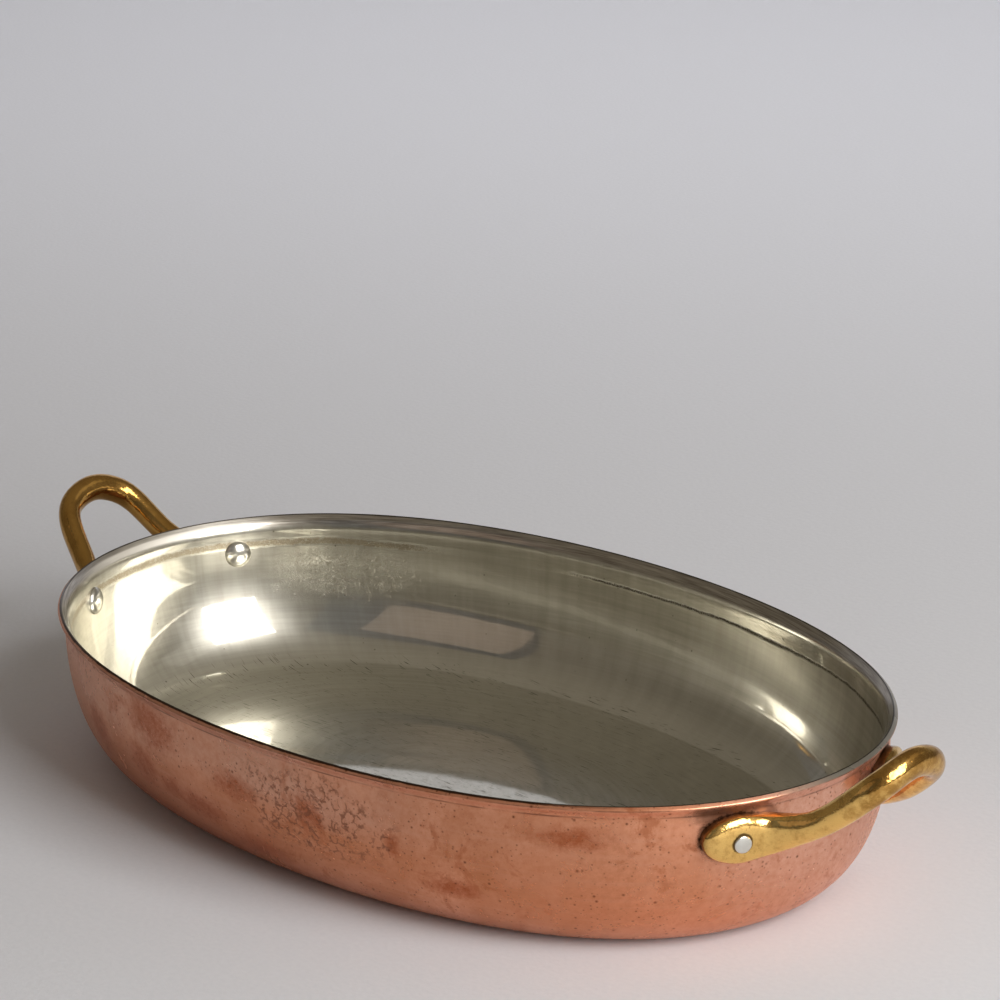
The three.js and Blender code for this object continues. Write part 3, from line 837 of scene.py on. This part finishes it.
def tin_material():
    material, tree, place = new_material("hand_wiped_tin_scrubbed")
    along, _, height = add(tree, "SeparateXYZ", (place,)).outputs
    wipes = streaks(tree, place, 55, 2.2, 5.0)
    above_lap = lap_distance(tree, place)
    seam = lap_seam(tree, place, above_lap)
    crumbs = add(tree, "TexNoise", (place, per_metre(0.9), 3.0, 0.5, 2.0, 1.5))
    crust = add(tree, "Math", (seam, crumbs), operation="MULTIPLY")
    stain = crinkled_stain(tree, place)
    marks = floor_marks(tree, place)
    dull = wiped_dull(tree, place, above_lap)
    below_lip = tin_tint(tree, place, crust, stain, marks)
    tint, lip_roughness, hazy_bend = lip_of_the_tin(tree, place, below_lip)

    rough_by_lap = add(tree, "Math", (dull, 0.12, 0.05), operation="MULTIPLY_ADD")
    clear = add(tree, "Math", (lip_roughness, rough_by_lap), operation="ADD")
    hazier_floor = add(tree, "MapRange", (height, 4 * MM, 14 * MM, 0.46, 0.32))
    haze = add(tree, "Math", (hazy_bend, 0.3, hazier_floor), operation="MULTIPLY_ADD")
    left_end = add(tree, "MapRange", (along, -90 * MM, -150 * MM))
    haze_share = add(tree, "MapRange", (wipes, 0.3, 0.7, 0.34, 0.48))
    for where, more in ((seam, 0.3), (stain, 0.14), (left_end, 0.22), (hazy_bend, 0.25), (dull, 0.25)):
        haze_share = add(tree, "Math", (where, more, haze_share), operation="MULTIPLY_ADD")

    slow = add(tree, "TexNoise", (place, per_metre(26), 2.0))
    wavy = add(tree, "Bump", {"Height": slow, "Strength": 1.0, "Distance": 0.08 * MM})
    wiped = add(tree, "Bump", {"Height": wipes, "Strength": 0.5, "Distance": 0.012 * MM, "Normal": wavy})
    crinkled = add(tree, "Math", (stain, 0.2, crust), operation="MULTIPLY_ADD")
    raised = add(tree, "Bump", {"Height": crinkled, "Strength": 0.8, "Distance": 0.15 * MM,
                                "Normal": wiped})
    cut = add(tree, "Bump", {"Height": marks, "Strength": 0.5, "Distance": 0.05 * MM, "Normal": raised},
              invert=True)
    metal_of_two_sheens(tree, tint, cut, clear, haze, haze_share)
    return material


tin = tin_material()
print(tin.name, "nodes:", len(tin.node_tree.nodes))

# %% [markdown]
# ### The tin piece
# The tin lies a third of a millimetre thick on the copper. Its skin is the same skin, moved
# inward by the sheet and thickened once more.

# %% Tin piece
def tin_sheet():
    bm = skin.copy()
    inward = COPPER_THICKNESS + LAYER_GAP
    for vert, normal in [(v, v.normal.copy()) for v in bm.verts]:
        vert.co -= normal * inward
    bm.normal_update()
    thicken(bm, TIN_THICKNESS)
    return bm


finish_piece("tin_lining_wiped", tin_sheet(), tin, "tin_lining")

# %% [markdown]
# ## The handles
# Each handle is one brass casting: a thick flat-backed pad at each foot, and between them a
# round limb that bends outward and up into a grip. Its centre line goes through a few places
# on one half, is mirrored to the other, and a smooth curve joins them. On the pads it bends
# with the wall.

# %% Centre line of a handle
PAD_NOSE_LENGTH = 12.5 * MM
PAD_TAIL_LENGTH = 10.8 * MM
LIMB_REACH = 10 * MM
LIMB_HALF_SPACING = 21.7 * MM
LIMB_RISE = 5.5 * MM
SHOULDER_REACH = 28.1 * MM
SHOULDER_HALF_SPACING = 14 * MM
SHOULDER_RISE = 21.2 * MM
GRIP_REACH = 30.9 * MM
GRIP_RISE = 26.3 * MM


def handle_stations():
    spot, normal = skin_at(PAD_HALF_SPACING, PAD_HEIGHT)
    out = Vector((normal.x, normal.y, 0)).normalized()
    centre = spot + out * PAD_THICKNESS / 2
    along = Vector((out.y, -out.x, 0))

    def on_pad(distance):
        return centre + along * distance - out * (distance * distance / (2 * RIM_HALF_WIDTH))

    half = [on_pad(-PAD_NOSE_LENGTH), on_pad(0), on_pad(PAD_TAIL_LENGTH),
            Vector((RIM_HALF_LENGTH + LIMB_REACH, LIMB_HALF_SPACING, PAD_HEIGHT + LIMB_RISE)),
            Vector((RIM_HALF_LENGTH + SHOULDER_REACH, SHOULDER_HALF_SPACING, PAD_HEIGHT + SHOULDER_RISE))]
    grip = Vector((RIM_HALF_LENGTH + GRIP_REACH, 0, PAD_HEIGHT + GRIP_RISE))
    return [Vector((p.x, -p.y, p.z)) for p in half] + [grip] + half[::-1]


# A smooth curve whose pace follows the gaps, so it never loops where stations lie close
def curve_through(stations, steps):
    first = stations[0] * 2 - stations[1]
    last = stations[-1] * 2 - stations[-2]
    points = [first, *stations, last]
    line = []
    for p0, p1, p2, p3 in zip(points, points[1:], points[2:], points[3:]):
        gaps = [math.sqrt((b - a).length) for a, b in ((p0, p1), (p1, p2), (p2, p3))]
        t1, t2, t3 = gaps[0], gaps[0] + gaps[1], sum(gaps)
        for k in range(steps):
            t = t1 + (t2 - t1) * k / steps
            a1 = p0.lerp(p1, t / t1)
            a2 = p1.lerp(p2, (t - t1) / (t2 - t1))
            a3 = p2.lerp(p3, (t - t2) / (t3 - t2))
            b1 = a1.lerp(a2, t / t2)
            b2 = a2.lerp(a3, (t - t1) / (t3 - t1))
            line.append(b1.lerp(b2, (t - t1) / (t2 - t1)))
    return [*line, stations[-1].copy()]


def softened(line, passes):
    for _ in range(passes):
        inner = [(a + b * 2 + c) / 4 for a, b, c in zip(line, line[1:], line[2:])]
        line = [line[0], *inner, line[-1]]
    return line


CURVE_STEPS = 40
SOFTENING_PASSES = 60

centre_line = softened(curve_through(handle_stations(), CURVE_STEPS), SOFTENING_PASSES)
reach = [0.0]
for a, b in zip(centre_line, centre_line[1:]):
    reach.append(reach[-1] + (b - a).length)
print("length of the handle's centre line, mm:", round(reach[-1] / MM, 1))

# %% [markdown]
# ### Sections along the handle
# The section changes with the distance from the nearer nose. A pad starts at a rounded nose
# and has a softly squared front and an almost flat back. It tapers into the limb, which is a
# plain oval that swells a little towards the grip. A power of 2 gives an oval, and a higher
# one squares it.

# %% Sections of a handle
PAD_HALF_HEIGHT = 8.3 * MM
PAD_BACK_DEPTH = 4.2 * MM
PAD_FRONT_POWER = 2.8
PAD_BACK_POWER = 7
NOSE_ROUND_LENGTH = 14.3 * MM
NOSE_EDGE_LENGTH = 5 * MM
NOSE_TIP_HALF_HEIGHT = 0.3 * MM
NOSE_TIP_DEPTH = 0.2 * MM
TAPER_START = 11 * MM
TAPER_LENGTH = 29.7 * MM
LIMB_HALF_HEIGHT = 4.7 * MM
LIMB_HALF_DEPTH = 4.2 * MM
LIMB_POWER = 2
GRIP_HALF_HEIGHT = 5.2 * MM
GRIP_HALF_DEPTH = 4.3 * MM


def smooth_step(value, low, high):
    t = min(max((value - low) / (high - low), 0.0), 1.0)
    return t * t * (3 - 2 * t)


def blend(low, high, share):
    return low + (high - low) * share


def rounded(value, length):
    return math.sqrt(1 - (1 - min(value / length, 1.0)) ** 2)


def section_at(from_nose):
    taper = smooth_step(from_nose, TAPER_START, TAPER_START + TAPER_LENGTH)
    swell = smooth_step(from_nose, TAPER_START + TAPER_LENGTH, reach[-1] / 2)
    limb_height = blend(LIMB_HALF_HEIGHT, GRIP_HALF_HEIGHT, swell)
    limb_depth = blend(LIMB_HALF_DEPTH, GRIP_HALF_DEPTH, swell)
    half_height = blend(NOSE_TIP_HALF_HEIGHT, PAD_HALF_HEIGHT, rounded(from_nose, NOSE_ROUND_LENGTH))
    front = blend(NOSE_TIP_DEPTH, PAD_THICKNESS / 2, rounded(from_nose, NOSE_EDGE_LENGTH))
    return {"half_height": blend(half_height, limb_height, taper),
            "front": blend(front, limb_depth, taper),
            "front_power": blend(PAD_FRONT_POWER, LIMB_POWER, taper),
            "back": blend(PAD_BACK_DEPTH, limb_depth, taper),
            "back_power": blend(PAD_BACK_POWER, LIMB_POWER, taper)}


def on_line(distance):
    i = next((k for k, r in enumerate(reach[1:]) if r >= distance), len(reach) - 2)
    share = (distance - reach[i]) / (reach[i + 1] - reach[i])
    point = centre_line[i].lerp(centre_line[i + 1], share)
    before = centre_line[max(i - 1, 0)]
    after = centre_line[min(i + 2, len(centre_line) - 1)]
    return point, (after - before).normalized()


def superellipse(value, power):
    return math.copysign(abs(value) ** (2 / power), value)

# %% [markdown]
# ### From a bar to a casting
# The casting is made straight first, as a bar with many rings, and then bent: every ring goes
# to its place on the centre line and takes the section that belongs there. Last, the backs of
# the pads are fitted to the wall, as a founder grinds them.

# %% A handle casting
HANDLE_RINGS = 190
HANDLE_SIDES = 48
EVEN_SHARE = 0.7
CLOSER_AT_ENDS = 0.3
WALL_FIT_GAP = 0.05 * MM


def bend_to_casting(bm):
    rings = {}
    for vert in bm.verts:
        rings.setdefault(round(vert.co.z * HANDLE_RINGS), []).append(vert)
    for index, ring in rings.items():
        even = index / HANDLE_RINGS + 0.5
        share = EVEN_SHARE * even + CLOSER_AT_ENDS * (0.5 - 0.5 * math.cos(math.pi * even))
        distance = share * reach[-1]
        point, travel = on_line(distance)
        upward = (Vector((0, 0, 1)) - travel * travel.z).normalized()
        backward = upward.cross(travel)
        size = section_at(min(distance, reach[-1] - distance))
        for vert in ring:
            c, s = vert.co.x, vert.co.y
            power = size["back_power"] if c > 0 else size["front_power"]
            depth = size["back"] if c > 0 else size["front"]
            vert.co = (point + backward * depth * superellipse(c, power)
                       + upward * size["half_height"] * superellipse(s, power))


def fit_to_wall(bm, gap):
    for vert in bm.verts:
        spot, normal, _, _ = wall_tree.find_nearest(vert.co)
        if (vert.co - spot).dot(normal) < gap:
            vert.co = spot + normal * gap


def handle_casting():
    bm = bmesh.new()
    bmesh.ops.create_cone(bm, cap_ends=True, cap_tris=False, segments=HANDLE_SIDES,
                          radius1=1, radius2=1, depth=1)
    long_edges = [e for e in bm.edges if abs(e.verts[0].co.z - e.verts[1].co.z) > 0.5]
    bmesh.ops.subdivide_edges(bm, edges=long_edges, cuts=HANDLE_RINGS - 1, use_grid_fill=False)
    bend_to_casting(bm)
    fit_to_wall(bm, WALL_FIT_GAP)
    bmesh.ops.recalc_face_normals(bm, faces=bm.faces)
    return bm

# %% [markdown]
# ## Brass: cast, filed and polished
# The castings were filed smooth and polished by hand, so they shine like a mirror with soft
# dents in it. The brass has gone brown in clouds, more so at the grip, and the whole left
# handle is tinted darker brown. Old polish has dried dark round the rivets, and the dark tint
# along the foot of each pad, where it meets the wall, is dirt and painted shade.

# %% Brass material
# Old polish dried round the rivet ends, and dirt and painted shade where the pad meets the wall.
def brass_dirt_and_shade(tree, place):
    foot = in_foot_frame(tree, place)
    ragged = add(tree, "TexNoise", (place, per_metre(1.6), 4.0))
    from_rivet = distance_from(tree, foot, (0, -0.3, -0.4), (1000, 1, 1))
    ring_edge = add(tree, "Math", (ragged, 1.4, from_rivet), operation="MULTIPLY_ADD")
    ring = add(tree, "MapRange", (ring_edge, 4.0, 4.5, 0.9, 0.0))
    off_wall = add(tree, "SeparateXYZ", (foot,)).outputs["X"]
    wall_edge = add(tree, "Math", (ragged, 1.5, off_wall), operation="MULTIPLY_ADD")
    near_wall = add(tree, "MapRange", (wall_edge, 2.4, 5.0, 0.9, 0.0))
    off_pad = distance_from(tree, foot, (0, -1, 0), (30, 19, 19))
    on_pad = add(tree, "MapRange", (off_pad, 0.9, 1.1, 1.0, 0.0))
    back = add(tree, "Math", (near_wall, on_pad), operation="MULTIPLY")
    return add(tree, "Math", (ring, back), operation="MAXIMUM")


def brass_material():
    material, tree, place = new_material("polished_cast_brass")
    clouds = add(tree, "TexNoise", (place, per_metre(7), 8.0, 0.75))
    along = add(tree, "SeparateXYZ", (place,)).outputs["X"]
    grip = RIM_HALF_LENGTH + 22 * MM
    handled = add(tree, "MapRange", (along, grip, grip + 8 * MM, 0.0, 0.14))
    older = add(tree, "Math", (clouds, handled), operation="ADD")
    brown = add(tree, "MapRange", (older, 0.47, 0.68, 0.0, 0.85))
    # The whole left handle is tinted darker brown.
    left_handle = add(tree, "MapRange", (along, 0.0, -100 * MM, 0.0, 0.75))
    pores = pits(tree, place, 1.6, 0.22)
    tint = layered(tree, "#F4C877", (brown, "#A67838"), (left_handle, "#A87C3C"), (pores, "#8A6430"),
                   (brass_dirt_and_shade(tree, place), "#4A3620"))
    clear = add(tree, "MapRange", (clouds, 0.3, 0.7, 0.06, 0.14))
    filed = add(tree, "TexNoise", (place, per_metre(6), 4.0, 0.6))
    dents = add(tree, "Bump", {"Height": filed, "Strength": 1.0, "Distance": 0.3 * MM})
    sunk = add(tree, "Bump", {"Height": pores, "Strength": 0.4, "Distance": 0.08 * MM, "Normal": dents},
               invert=True)
    metal_of_two_sheens(tree, tint, sunk, clear, 0.4, 0.2)
    return material


brass = brass_material()
print(brass.name, "nodes:", len(brass.node_tree.nodes))

# %% [markdown]
# ### The two handles
# Both ends of the pan are alike, so the left handle is the right one turned half round the
# pan's middle. The turn goes into the mesh, and the object stays at the origin.

# %% The two handles
ENDS = {"right": 0, "left": math.pi}


def turn_about_middle(bm, angle):
    bmesh.ops.rotate(bm, verts=bm.verts, cent=(0, 0, 0), matrix=Matrix.Rotation(angle, 3, "Z"))


for end, turn_to_end in ENDS.items():
    casting = handle_casting()
    turn_about_middle(casting, turn_to_end)
    finish_piece(f"cast_handle_{end}", casting, brass, f"handle_{end}")

# %% [markdown]
# ## The rivets
# A rivet has a low domed head inside the pan. Its other end was hammered over on the brass
# pad, where it shows as a small crowned disc. The tin on it is bright, with the flats of the
# hammer still in it.

# %% Rivet material
def rivet_material():
    material, tree, place = new_material("tinned_rivet_hammered")
    clouds = add(tree, "TexNoise", (place, per_metre(2.5), 4.0))
    tint = layered(tree, "#EEEDE6", (clouds, "#D2CFC4"))
    clear = add(tree, "MapRange", (clouds, 0.3, 0.7, 0.08, 0.2))
    blows = add(tree, "Bump", {"Height": clouds, "Strength": 0.8, "Distance": 0.06 * MM})
    metal_of_two_sheens(tree, tint, blows, clear, 0.4, 0.3)
    return material


rivet_metal = rivet_material()
print(rivet_metal.name, "nodes:", len(rivet_metal.node_tree.nodes))

# %% [markdown]
# ### The four rivets
# Head, shank and peened end are one solid, spun from one profile. It is laid along the skin's
# normal at its place, with its head below the tin and its end above the pad.

# %% The four rivets
RIVET_RADIUS = 3.0 * MM
RIVET_END_PROUD = 0.4 * MM
RIVET_END_CROWN = 0.5 * MM
RIVET_HEAD_RADIUS = 5.3 * MM
RIVET_HEAD_HEIGHT = 2.5 * MM
RIVET_SIDES = 40
LINING_FACE = COPPER_THICKNESS + LAYER_GAP + TIN_THICKNESS


def arc(radius, start, rise, steps):
    turns = [k / steps * math.pi / 2 for k in range(steps + 1)]
    return [(radius * math.cos(t), start + rise * math.sin(t)) for t in turns]


def rivet(side):
    bm = bmesh.new()
    head = arc(RIVET_HEAD_RADIUS, -LINING_FACE, -RIVET_HEAD_HEIGHT, 10)[::-1]
    end = arc(RIVET_RADIUS, PAD_THICKNESS + RIVET_END_PROUD, RIVET_END_CROWN, 8)
    profile = [*head, (RIVET_RADIUS, -LINING_FACE), *end]
    spin_profile(bm, [(max(r, 0.0), z) for r, z in profile], RIVET_SIDES)
    spot, normal = skin_at(side * RIVET_HALF_SPACING, RIVET_HEIGHT)
    turn = normal.to_track_quat("Z", "Y").to_matrix().to_4x4()
    bmesh.ops.transform(bm, matrix=Matrix.Translation(spot) @ turn, verts=bm.verts)
    bmesh.ops.recalc_face_normals(bm, faces=bm.faces)
    return bm


for end, turn_to_end in ENDS.items():
    for place, side in (("front", -1), ("back", 1)):
        turned = rivet(side if end == "right" else -side)
        turn_about_middle(turned, turn_to_end)
        node = f"rivet_{end}_{place}"
        finish_piece(f"{node}_turned", turned, rivet_metal, node)
